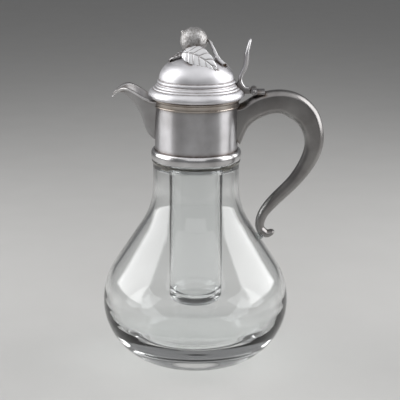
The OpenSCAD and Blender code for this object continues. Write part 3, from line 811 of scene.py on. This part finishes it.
@dataclass
class Spout(Assembly):
    """Open beak of sheet metal with a half-round wire along its rim."""

    collar_r: float = COLLAR_R
    collar_top: float = COLLAR_TOP
    reach: float = 34.4
    half: float = 16.2
    rise: float = 8.6
    depth: float = 36.8
    sheet: float = 1.0
    wire_h: float = 1.9
    wire_out: float = 1.0
    bend: float = 1.35
    rim: tuple[Row, ...] = (
        (-0.12, 0.80, -0.20), (0.06, 0.87, -0.14), (0.19, 0.94, 0.10), (0.35, 1.00, 0.46),
        (0.51, 0.94, 0.81), (0.65, 0.79, 1.00), (0.78, 0.57, 0.92), (0.90, 0.32, 0.58),
        (0.97, 0.17, 0.22), (1.00, 0.09, 0.06),
    )
    keel: tuple[Row, ...] = (
        (-0.12, -1.01), (0.05, -0.95), (0.19, -0.80), (0.28, -0.57), (0.37, -0.35), (0.51, -0.14),
        (0.65, 0.00), (0.79, 0.08), (0.92, 0.05), (0.98, -0.04),
    )

    def station(self, at: float) -> list[float]:
        """Sizes of rim and keel at a place along the spout.

        Args:
            at: Place along the spout, in rows.

        Returns:
            The rim's reach, half width and height, then the keel's reach and height, in millimetres.
        """
        out, half, up, low_out, low_up = through([(*r, *k) for r, k in zip(self.rim, self.keel)], at)
        return [
            -self.collar_r - out * self.reach, half * self.half, self.collar_top + up * self.rise,
            -self.collar_r - low_out * self.reach, self.collar_top + low_up * self.depth,
        ]

    def wall(self, at: float, across: float) -> Vector:
        """Point of the outer wall.

        Args:
            at: Place along the spout, in rows.
            across: From -1 at the near rim through 0 at the keel to 1 at the far rim.

        Returns:
            The point in millimetres.
        """
        x, half, z, low_x, low_z = self.station(at)
        share = abs(across) ** self.bend
        return Vector((low_x + (x - low_x) * share, half * across, low_z + (z - low_z) * share))

    def root(self, across: float) -> float:
        """Place where the wall at this share across leaves the collar."""
        return crossing(lambda s: self.wall(s, across).xy.length < self.collar_r - SINK, 0.0, 3.0)

    def build(self) -> None:
        """Builds the beak and its wire."""
        last = len(self.rim) - 1.0
        shares = spaced(-1, 1, 40)
        lines = [[self.wall(at, v) * MM for at in spaced(self.root(v), last, 72)] for v in shares]
        bm = swept(list(zip(*lines)), closed=False, capped=False)
        low = min(bm.faces, key=lambda f: f.calc_center_median().z)
        if low.normal.z > 0:
            bmesh.ops.reverse_faces(bm, faces=bm.faces)
        beak = self.fit(bm, "beak_spout", CAST_SILVER, "spout", sharp=60.0)
        sheet = beak.modifiers.new("sheet", "SOLIDIFY")
        sheet.thickness, sheet.offset, sheet.use_even_offset = self.sheet * MM, -1.0, False
        self.wire(last)

    def wire(self, last: float) -> None:
        """Sweeps the half-round wire along both sides of the rim.

        Args:
            last: Place of the tip, in rows.
        """
        rings = []
        places = spaced(self.root(1.0), last, 72)
        for side, order in ((1, places), (-1, places[::-1])):
            for at in order:
                x, _, z, low_x, low_z = self.station(at)
                tall = hypot(x - low_x, z - low_z)
                share = (1 - min(self.wire_h / tall, 0.45)) ** (1 / self.bend)
                top, foot = self.wall(at, side), self.wall(at, side * share)
                up = Vector((x - low_x, 0, z - low_z)).normalized()
                slope = top - foot
                out = (side * Vector((0, slope.dot(up), 0)) - side * slope.y * up).normalized()
                out = out if out.y * side > 0 else -out
                rings.append(self.bead(top, foot, out))
            if side == 1:
                top, foot = self.wall(last, 1.0), self.wall(last, share)
                top.y = foot.y = 0
                rings.append(self.bead(top, foot, Vector((-1, 0, 0))))
        self.fit(swept(rings), "spout_rim_wire", TURNED_SILVER, "spout_wire")

    def bead(self, top: Vector, foot: Vector, out: Vector) -> list[Vector]:
        """Half-round section between the wire's upper and lower edges.

        Args:
            top: Upper edge on the wall.
            foot: Lower edge on the wall.
            out: Direction away from the wall.

        Returns:
            The ring of points in metres.
        """
        ring = []
        for turn in spaced(0, pi, 10):
            middle = (top + foot) / 2 + (top - foot) / 2 * cos(turn)
            ring.append((middle + out * self.wire_out * sin(turn) ** 0.8) * MM)
        ring.append((top * 0.3 + foot * 0.7 - out * 0.3) * MM)
        ring.append((top * 0.7 + foot * 0.3 - out * 0.3) * MM)
        return ring


@dataclass
class Handle(Assembly):
    """Scroll handle with a crowned outer face, flat sides and a clear pad under its tail."""

    collar_r: float = COLLAR_R
    reach: float = 71.0
    tail_z: float = 103.1
    arch_h: float = 126.2
    width: float = 15.0
    taper: float = 0.4
    crown: float = 0.53
    outer_ease: float = 1.1
    inner_round: float = 0.8
    tail_round: float = 0.4
    seat_z: float = 225.9
    seat_x: tuple[float, float] = (36.9, 55.5)
    rows: tuple[Row, ...] = (
        (-0.117, 0.769, 39.2), (0.068, 0.834, 20.3), (0.280, 0.903, 19.5), (0.486, 0.922, 20.0),
        (0.662, 0.891, 21.2), (0.815, 0.811, 19.3), (0.887, 0.677, 16.0), (0.842, 0.549, 13.9),
        (0.679, 0.403, 11.3), (0.428, 0.255, 10.2), (0.306, 0.163, 8.5), (0.277, 0.079, 7.3),
        (0.351, 0.033, 7.0), (0.448, 0.052, 4.2),
    )

    def middle(self, at: float) -> Vector:
        """Middle of the handle and its thickness at a place along it."""
        x, z, thick = through(self.rows, at)
        return Vector((self.collar_r + x * self.reach, self.tail_z + z * self.arch_h, thick))

    def section(self, at: float) -> list[Point]:
        """Outline of the handle square to its run, as place across and height over the middle.

        Args:
            at: Place along the handle, in rows.

        Returns:
            The points from one outer edge round to the inner face.
        """
        last = len(self.rows) - 1.0
        close = closing(at, last, self.tail_round, 0.01)
        thick = self.middle(at).z * close
        half = self.width / 2 * (1 - self.taper * at / last) * close
        crown, belly = min(self.crown * half, 0.45 * thick), min(self.inner_round * half, 0.45 * thick)
        reach = min(self.outer_ease, 0.4 * (thick - crown - belly), 0.4 * half)
        inset = 1 - reach / half
        face = [(half * q, thick / 2 - crown * q * q) for q in spaced(inset, -inset, 12)]
        bends = []
        for end in (1, -1):
            corner = Vector((end * half, thick / 2 - crown))
            first, top = corner - Vector((0, reach)), Vector((end * half * inset, face[0][1]))
            bends.append(bend(first, corner, top, spaced(0, 0.8, 4)))
        inner = [(-half * cos(a), belly - thick / 2 - belly * sin(a)) for a in spaced(0, pi, 20)]
        return [*bends[0], *face, *bends[1][::-1], *inner]

    def skin(self, at: float, index: int) -> Vector:
        """Point of the handle's surface.

        Args:
            at: Place along the handle, in rows.
            index: Number of the point in the section.

        Returns:
            The point in millimetres.
        """
        x, z, _ = self.middle(at)
        ahead, up, _ = heading(self.rows, at, 0.25)
        run = Vector((ahead * self.reach, up * self.arch_h)).normalized()
        side, rise = self.section(at)[index]
        point = Vector((x - run.y * rise, side, z + run.x * rise))
        if self.seat_x[0] < point.x < self.seat_x[1]:
            point.z = min(point.z, self.seat_z)
        return point

    def build(self) -> None:
        """Sweeps the handle from the collar wall to its curled tail."""
        last, clear = len(self.rows) - 1.0, 3.0
        lines = range(len(self.section(clear)))
        roots = [
            crossing(lambda s, k=k: self.skin(s, k).xy.length < self.collar_r - SINK, 0.0, 2.5)
            for k in lines
        ]
        rest = spaced(clear, last, int((last - clear) * 14))[1:]
        strips = [
            [self.skin(s, k) * MM for s in (*spaced(root, clear, 28), *rest)] for root, k in zip(roots, lines)
        ]
        self.fit(swept(list(zip(*strips))), "scroll_handle", HANDLE_SILVER, "handle", sharp=80.0)
        self.keep("handle_pad", PAD)


@dataclass
class Hinge(Assembly):
    """Saddle plate with its knuckles on the handle, and the pin through them."""

    ease: float = 0.35

    def build(self) -> None:
        """Rounds the saddle's edges and dresses the pin."""
        self.fit(from_node("hinge_saddle", self.ease), "hinge_saddle_plate", CAST_SILVER, "hinge_saddle")
        self.keep("hinge_pin", CAST_SILVER)


@dataclass
class Lid(Assembly):
    """Spun lid with a rounded rim, stepped flange, ring and dome, its bezel, hinge leaf and thumb-piece."""

    body = "lid"
    rim_z: float = 223.4
    rim_r: float = 39.4
    flange_h: float = 14.6
    dome_r: float = 30.6
    dome_h: float = 19.3
    sheet: float = 1.2
    bore: float = STUD_R
    skirt_r: float = 31.9
    skirt_h: float = 2.9
    pin: Point = (46.9, 228.6)
    thumb_h: float = 43.0
    thumb_w: float = 14.0
    rim_shares: tuple[Point, ...] = ((-0.16, 0.0), (0.08, 0.041), (0.045, 0.288), (-0.33, 0.452))
    step_shares: tuple[Point, ...] = (
        (-0.443, 0.473), (-0.5, 0.562), (-0.648, 0.589), (-0.705, 0.685), (-0.807, 0.712),
    )
    inner_shares: tuple[Point, ...] = ((-0.5, 0.37), (-0.25, 0.164))
    bezel_share: float = 0.27
    bezel_t: float = 1.0
    thumb_rows: tuple[Row, ...] = (
        (-4.3, 0.045, 2.6), (-7.8, 0.062, 3.0), (-10.2, 0.126, 3.2), (-11.3, 0.214, 3.3),
        (-10.05, 0.323, 3.5), (-7.55, 0.440, 3.9), (-6.45, 0.579, 4.3), (-6.25, 0.730, 4.1),
        (-4.7, 0.881, 3.2), (-3.3, 1.000, 2.0),
    )
    thumb_front: tuple[Row, ...] = (
        (0.56, -0.1), (0.50, 0.10), (0.42, 0.30), (0.62, 0.48), (1.00, 0.70), (0.72, 0.90), (0.10, 1.06),
    )

    def build(self) -> None:
        """Builds the lid's own pieces."""
        self.shell()
        self.bezel()
        self.fit(from_node("hinge_strap", 0.3), "hinge_leaf", CAST_SILVER, "hinge_strap")
        self.thumb()

    def shell(self) -> None:
        """Spins the sheet of rim, flange and dome."""
        r, w, h, z = self.rim_r, self.rim_r - self.dome_r, self.flange_h, self.rim_z

        def spots(shares: Sequence[Point]) -> list[Point]:
            """Points from shares of the flange's width and height."""
            return [(r + s * w, z + t * h) for s, t in shares]

        def dome(off: float, turn: float) -> Point:
            """Point of the dome at an angle, moved in by off."""
            a = radians(turn)
            return ((self.dome_r - off) * cos(a), z + h + (self.dome_h - off) * sin(a))

        ring = arc((self.dome_r - 0.1, z + 0.87 * h), 0.103 * h, -50, 70, 14)
        top = degrees(acos(self.bore / self.dome_r))
        foot = r - self.bezel_share * w
        profile = [
            *cubic(spots(self.rim_shares), 20), *spots(self.step_shares), *ring,
            *[dome(0, turn) for turn in spaced(0, top, 48)],
            *[dome(self.sheet, turn) for turn in spaced(top, 0, 32)],
            (self.dome_r - self.sheet, z + 0.8 * h), *spots(self.inner_shares), (foot, z + self.bezel_t),
            (foot, z),
        ]
        self.fit(turned(eased(profile, 0.45), steps=224), "domed_lid", LID_SILVER, "lid_shell", sharp=55.0)

    def bezel(self) -> None:
        """Spins the ring and skirt that centre the lid."""
        z, out, skirt = self.rim_z, self.rim_r - self.bezel_share * (self.rim_r - self.dome_r), self.skirt_r
        low, high, inner = z - self.skirt_h, z + self.bezel_t, skirt - self.sheet
        profile = [(inner, low), (skirt, low), (skirt, z), (out, z), (out, high), (inner, high)]
        self.fit(turned(eased(profile, 0.3)), "lid_skirt_ring", TURNED_SILVER, "lid_bezel")

    def thumb(self) -> None:
        """Sweeps the leaf-shaped lever from the hinge to its tip."""
        front = [through(self.thumb_front, i / 8) for i in range(8 * (len(self.thumb_front) - 1) + 1)]
        heights, halves = [f[1] for f in front], [f[0] for f in front]
        last = len(self.thumb_rows) - 1.0
        rings = []
        for at in spaced(0, last, 90):
            x, up, thick = through(self.thumb_rows, at)
            ahead = heading(self.thumb_rows, at, 0.1)
            run = Vector((ahead[0], ahead[1] * self.thumb_h)).normalized()
            close = closing(at, last, 0.45, 0.004)
            half = float(np.interp(up, heights, halves)) * self.thumb_w / 2 * close
            x, z = self.pin[0] + x, self.pin[1] + up * self.thumb_h
            ring = []
            for turn in spaced(0, tau, 28)[:-1]:
                side = half * copysign(abs(cos(turn)) ** 0.85, cos(turn))
                lift = thick / 2 * close * copysign(abs(sin(turn)) ** 0.8, sin(turn))
                ring.append(in_metres(x - run.y * lift, side, z + run.x * lift))
            rings.append(ring)
        self.fit(swept(rings), "thumb_lever", SMOOTH_SILVER, "thumb_piece", sharp=60.0)


@dataclass
class Finial(Assembly):
    """Fruit with its stem and two leaves on the dome, and the stud, washer and nut that hold it."""

    body = "lid"
    dome_top: float = 257.3
    fruit_r: float = 11.1
    fruit_x: float = -2.3
    fruit_z: float = 268.9
    tilt: float = 52.0
    seat_r: float = 4.6
    bore: float = STUD_R
    skin: tuple[Point, ...] = ((0.18, 1.5), (0.09, 0.7), (0.10, 5.0))
    leaf_t: float = 1.0
    veins: float = 5.6
    vein_slant: float = 0.16
    tooth: float = 0.09
    cup: float = 0.09
    puff: float = 0.5
    stem_r: float = 1.3
    knot: tuple[float, float, float] = (0.16, 3.1, 0.2)
    cut_run: float = 1.5
    cut_face: tuple[float, float, float] = (0.1, -0.85, -0.1)
    stem_rows: tuple[Row, ...] = (
        (0.63, 0, 1.045, 0.8), (0.90, -0.18, 1.08, 0.8), (1.17, -0.45, 0.63, 1.05),
        (1.495, -0.72, -0.054, 1.35), (1.766, -0.847, -0.378, 1.6), (2.07, -0.946, -0.62, 1.6),
    )

    def build(self) -> None:
        """Builds the ornament and dresses its fasteners."""
        self.seat()
        self.fruit()
        self.stem()
        self.leaf(
            "broad_leaf", "leaf_front", ((-0.99, -1.04, 0.31), (-0.09, -1.57, 0.56), (1.41, -1.86, -0.77)),
            Vector((0.46, 0.45, 0.76)), 8.4, 0.0,
        )
        self.leaf(
            "curled_leaf", "leaf_side", ((-0.495, 0.09, 0.054), (-1.333, 0, 0.198), (-1.982, -0.09, -0.486)),
            Vector((0, 1, 0)), 6.5, 0.7,
        )
        for node in ("finial_stud", "finial_washer", "finial_nut"):
            self.keep(node, BRASS)

    def seat(self) -> None:
        """Spins the small foot between dome and fruit."""
        r, z = self.seat_r, self.dome_top
        profile = [
            (self.bore, z - 0.2), (r, z - 0.25), (r - 0.3, z + 0.5), (r - 0.7, z + 1.0), (r, z + 1.8),
            (self.bore, z + 1.9),
        ]
        self.fit(turned(eased(profile, 0.4), steps=64), "fruit_seat", TURNED_SILVER, "finial_seat")

    def fruit(self) -> None:
        """Spins the fruit with its nipple, pricks its skin and tilts it."""
        r = self.fruit_r
        nipple = [(0.31 * r, 0.95 * r), (0.20 * r, 0.99 * r), (0.14 * r, 1.01 * r), (0.10 * r, 1.10 * r)]
        line = [*arc((0, 0), r, -90, 72, 80), *cubic(nipple, 12)[1:], (0.06 * r, 1.15 * r), (0, 1.16 * r)]
        line[0] = (0, -r)
        bm = turned(line, closed=False, steps=140)
        bm.normal_update()
        for v in bm.verts:
            v.co += v.normal * sum(d * noise.noise(v.co / (size * MM)) for d, size in self.skin) * MM
        place = Matrix.Translation(in_metres(self.fruit_x, 0, self.fruit_z))
        place @= Matrix.Rotation(-radians(self.tilt), 4, "Y")
        bmesh.ops.transform(bm, matrix=place, verts=bm.verts)
        self.fit(bm, "stippled_fruit", STIPPLED_SILVER, "finial_fruit", sharp=180.0)

    def stem(self) -> None:
        """Sweeps the stem from the fruit to its cut end on the dome."""
        last = len(self.stem_rows) - 1.0
        swell, knot_at, knot_w = self.knot
        rings = []
        for at in spaced(0, last, 60):
            x, y, z, size = through(self.stem_rows, at)
            run = Vector(heading(self.stem_rows, at, 0.1)[:3]).normalized()
            u = run.cross(Vector((0, 1, 0))).normalized()
            v = u.cross(run)
            centre = Vector((x, y, z)) * self.fruit_r + Vector((0, 0, self.dome_top))
            knot = 1 + swell * exp(-((at - knot_at) / knot_w) ** 2)
            open_end = max(0.0, 1 - (last - at) / self.cut_run) ** 2
            cut = (run * 0.5 + Vector(self.cut_face)).normalized()
            ring = []
            for turn in spaced(0, tau, 24)[:-1]:
                radius = self.stem_r * size * knot * (1 + 0.05 * cos(5 * turn + at))
                reach = radius * (cos(turn) * u - sin(turn) * v)
                ring.append((centre + reach - run * open_end * reach.dot(cut) / run.dot(cut)) * MM)
            rings.append(ring)
        bm = swept(rings)
        end = max(bm.faces, key=lambda f: (len(f.verts), f.calc_center_median().x))
        depth = bm.verts.layers.float.new(CREASE)
        bmesh.ops.inset_individual(bm, faces=[end], thickness=0.4 * MM)
        bmesh.ops.inset_individual(bm, faces=[end], thickness=0.1 * MM, depth=-1.2 * MM)
        # Painted shade and tarnish: the recessed cut end gets the full crease brown.
        for v in end.verts:
            v[depth] = 1.0
        self.fit(bm, "fruit_stem", SMOOTH_SILVER, "finial_stem", sharp=50.0)

    def leaf(
        self, name: str, node: str, rib: Sequence[Row], across: Vector, half: float, wave: float
    ) -> None:
        """Bends a grid along a rib and presses veins and teeth into it.

        Args:
            name: Name of the piece.
            node: The CAD node that it stands for.
            rib: Three control points of the rib in fruit radii over the dome top.
            across: Direction to one edge.
            half: Greatest half width in millimetres.
            wave: Height of the slow waves along the leaf in millimetres.
        """
        bm = bmesh.new()
        bmesh.ops.create_grid(bm, x_segments=96, y_segments=48, size=0.5)
        a, b, c = (Vector(p) * self.fruit_r for p in rib)
        side = across.normalized()
        for v in bm.verts:
            s, q = v.co.x + 0.5, v.co.y * 2
            t = 1 - s
            centre = a * t * t + b * 2 * t * s + c * s * s + Vector((0, 0, self.dome_top))
            up = (b - a).lerp(c - b, s).cross(side).normalized()
            phase = self.veins * (s - self.vein_slant * abs(q))
            tooth = abs(phase % 1 - 0.5) * 2
            width = half * (0.08 + 0.92 * max(sin(pi * s**0.92), 0.0) ** 0.55)
            width *= 1 + self.tooth * (0.5 - tooth) * abs(q) ** 6
            puff = self.puff * (1 - tooth**4) * min(1.0, abs(q) / 0.14) * (1 - 0.6 * abs(q) ** 3)
            lift = self.leaf_t / 2 - self.cup * width * q * q + puff - 0.4 + wave * sin(7 * s + 2 * q)
            v.co = (centre + side * width * q + up * lift) * MM
        bm.normal_update()
        mean = sum((f.normal for f in bm.faces), Vector())
        if mean.dot((b - a).cross(side)) < 0:
            bmesh.ops.reverse_faces(bm, faces=bm.faces)
        piece = self.fit(bm, name, LEAF_SILVER, node, sharp=80.0)
        sheet = piece.modifiers.new("sheet", "SOLIDIFY")
        sheet.thickness, sheet.offset = self.leaf_t * MM, -1.0


@dataclass
class CreaseTarnishAndShade:
    """Brown that stays in creases and along joints: partly tarnish, where a cloth doesn't reach, and partly
    painted shade, where nearby pieces shade the surface.
    """

    joint_mm: float = 3.2
    hollow_mm: float = 2.2

    def settle(self, pieces: Sequence[Piece]) -> None:
        """Writes how deep in a crease each point lies, which sets its share of tarnish and painted shade.

        Args:
            pieces: The metal pieces at rest.
        """
        graph = bpy.context.evaluated_depsgraph_get()
        trees = {p: BVHTree.FromObject(p, graph) for p in pieces}
        lows = {p: Vector(map(min, zip(*p.bound_box))) for p in pieces}
        highs = {p: Vector(map(max, zip(*p.bound_box))) for p in pieces}
        reach = self.joint_mm * MM

        def meet(one: Piece, other: Piece) -> bool:
            """True if two pieces' boxes come within reach of each other."""
            pairs = ((lows[one], highs[other]), (lows[other], highs[one]))
            return all(low[k] < high[k] + reach for low, high in pairs for k in range(3))

        for piece in pieces:
            values = self.hollows(piece.data)
            near = [other for other in pieces if other is not piece and meet(piece, other)]
            for i, v in enumerate(piece.data.vertices):
                for other in near:
                    spot, _, _, distance = trees[other].find_nearest(v.co, reach)
                    if distance is not None:
                        # Painted shade: a point that faces a nearby piece gets more brown, as that piece
                        # shades it.
                        facing = (spot - v.co).dot(v.normal) / max(distance, 1e-6)
                        shade = min(max((facing + 0.1) / 0.4, 0.0), 1.0)
                        values[i] = max(values[i], shade * (1 - distance / reach) ** 1.3)
            layer = piece.data.attributes.get(CREASE) or piece.data.attributes.new(CREASE, "FLOAT", "POINT")
            given = np.zeros(len(values), dtype=np.float32)
            layer.data.foreach_get("value", given)
            layer.data.foreach_set("value", np.maximum(values, given).astype(np.float32))

    def hollows(self, mesh: bpy.types.Mesh) -> np.ndarray:
        """How hollow the surface is at each point, from 0 to 1.

        Args:
            mesh: The piece's mesh.

        Returns:
            One value a point.
        """
        places = np.array([v.co for v in mesh.vertices])
        normals = np.array([v.normal for v in mesh.vertices])
        ends = np.array([tuple(e.vertices) for e in mesh.edges])
        total, seen = np.zeros(len(places)), np.zeros(len(places))
        for a, b in ((0, 1), (1, 0)):
            step = places[ends[:, b]] - places[ends[:, a]]
            square = np.maximum((step**2).sum(1), 1e-12)
            bend = 2 * (step * normals[ends[:, a]]).sum(1) / square
            np.add.at(total, ends[:, a], np.clip(bend, -2000, 2000))
            np.add.at(seen, ends[:, a], 1)
        curve = total / np.maximum(seen, 1)
        return np.clip((curve * self.hollow_mm * MM - 0.25) / 1.2, 0, 1)


@dataclass
class Studio:
    """Pale floor, two side softboxes, a top softbox, a dim front panel and the camera."""

    floor_r: float = 5.0
    floor_drop: float = 0.4
    room: str = "#C9CACC"
    room_glow: float = 0.32
    lens: float = 117.35
    eye: tuple[float, float, float] = (3.42, -1050.0, 418.0)
    aim: tuple[float, float, float] = (3.42, 0.0, 135.77)
    roll: float = 0.35
    lamps: tuple[tuple, ...] = (
        ("left_softbox", (-0.80, 0.07, 0.72), (0.74, 1.16), 2.3, 0.72),
        ("right_softbox", (0.80, 0.10, 0.68), (0.80, 1.08), 2.4, 0.68),
        ("top_softbox", (0.0, -0.35, 1.45), (2.1, 1.7), 0.56, 0.14),
        ("front_panel", (0.0, -1.5, 1.05), (1.5, 0.7), 0.55, 0.25),
    )

    def build(self) -> None:
        """Sets up floor, light and camera."""
        self.floor()
        self.world()
        for row in self.lamps:
            self.lamp(*row)
        self.camera()
        bpy.context.scene.view_settings.view_transform = "Standard"

    def floor(self) -> None:
        """Lays a round pale floor under the carafe."""
        bm = bmesh.new()
        bmesh.ops.create_circle(bm, cap_ends=True, radius=self.floor_r, segments=128)
        bmesh.ops.translate(bm, verts=bm.verts, vec=(0, 0, -self.floor_drop * MM))
        floor = to_object(bm, "floor")
        paper = Dull("matt_paper_floor", "#C8C7C5", "#C2C1BF", 0.75, 60.0, 0.0)
        floor.data.materials.append(paper.material())

    def world(self) -> None:
        """Gives the room a dim even light."""
        world = bpy.data.worlds.new("studio_room")
        world.use_nodes = True
        inputs = world.node_tree.nodes["Background"].inputs
        inputs["Color"].default_value, inputs["Strength"].default_value = linear(self.room), self.room_glow
        bpy.context.scene.world = world

    def lamp(self, name: str, place: tuple, size: Point, glow: float, faces: float) -> None:
        """Hangs a soft box that faces the carafe.

        Args:
            name: Name of the lamp.
            place: Position in metres.
            size: Width and height in metres.
            glow: Brightness of its cloth, where 1 is white.
            faces: Height on the body axis that it faces, in metres.
        """
        data = bpy.data.lights.new(name, "AREA")
        data.shape, data.size, data.size_y, data.energy = "RECTANGLE", *size, 4 * size[0] * size[1] * glow
        lamp = bpy.data.objects.new(name, data)
        lamp.location = place
        lamp.visible_camera = False
        lamp.rotation_euler = (Vector((0, 0, faces)) - Vector(place)).to_track_quat("-Z", "Y").to_euler()
        bpy.context.scene.collection.objects.link(lamp)

    def camera(self) -> None:
        """Puts the camera at the photograph's viewing angle."""
        data = bpy.data.cameras.new("camera")
        data.sensor_width, data.lens, data.clip_start, data.clip_end = 36.0, self.lens, 0.05, 50.0
        camera = bpy.data.objects.new("camera", data)
        eye, aim = in_metres(*self.eye), in_metres(*self.aim)
        turn = (aim - eye).to_track_quat("-Z", "Y").to_matrix().to_4x4()
        roll = Matrix.Rotation(radians(self.roll), 4, "Z")
        camera.matrix_world = Matrix.Translation(eye) @ turn @ roll
        bpy.context.scene.collection.objects.link(camera)
        bpy.context.scene.camera = camera


def main() -> None:
    """Builds every sub-assembly in order, settles the crease tarnish and painted shade and sets up the
    studio.
    """
    logging.basicConfig(level=logging.INFO, format="%(name)s: %(message)s")
    for assembly in (Bulb(), Collar(), Tube(), Spout(), Handle(), Hinge(), Lid(), Finial()):
        assembly.build()
    CreaseTarnishAndShade().settle(Assembly.metal)
    Studio().build()
    LOG.info("%d metal pieces dressed", len(Assembly.metal))


if __name__ == "__main__":
    main()
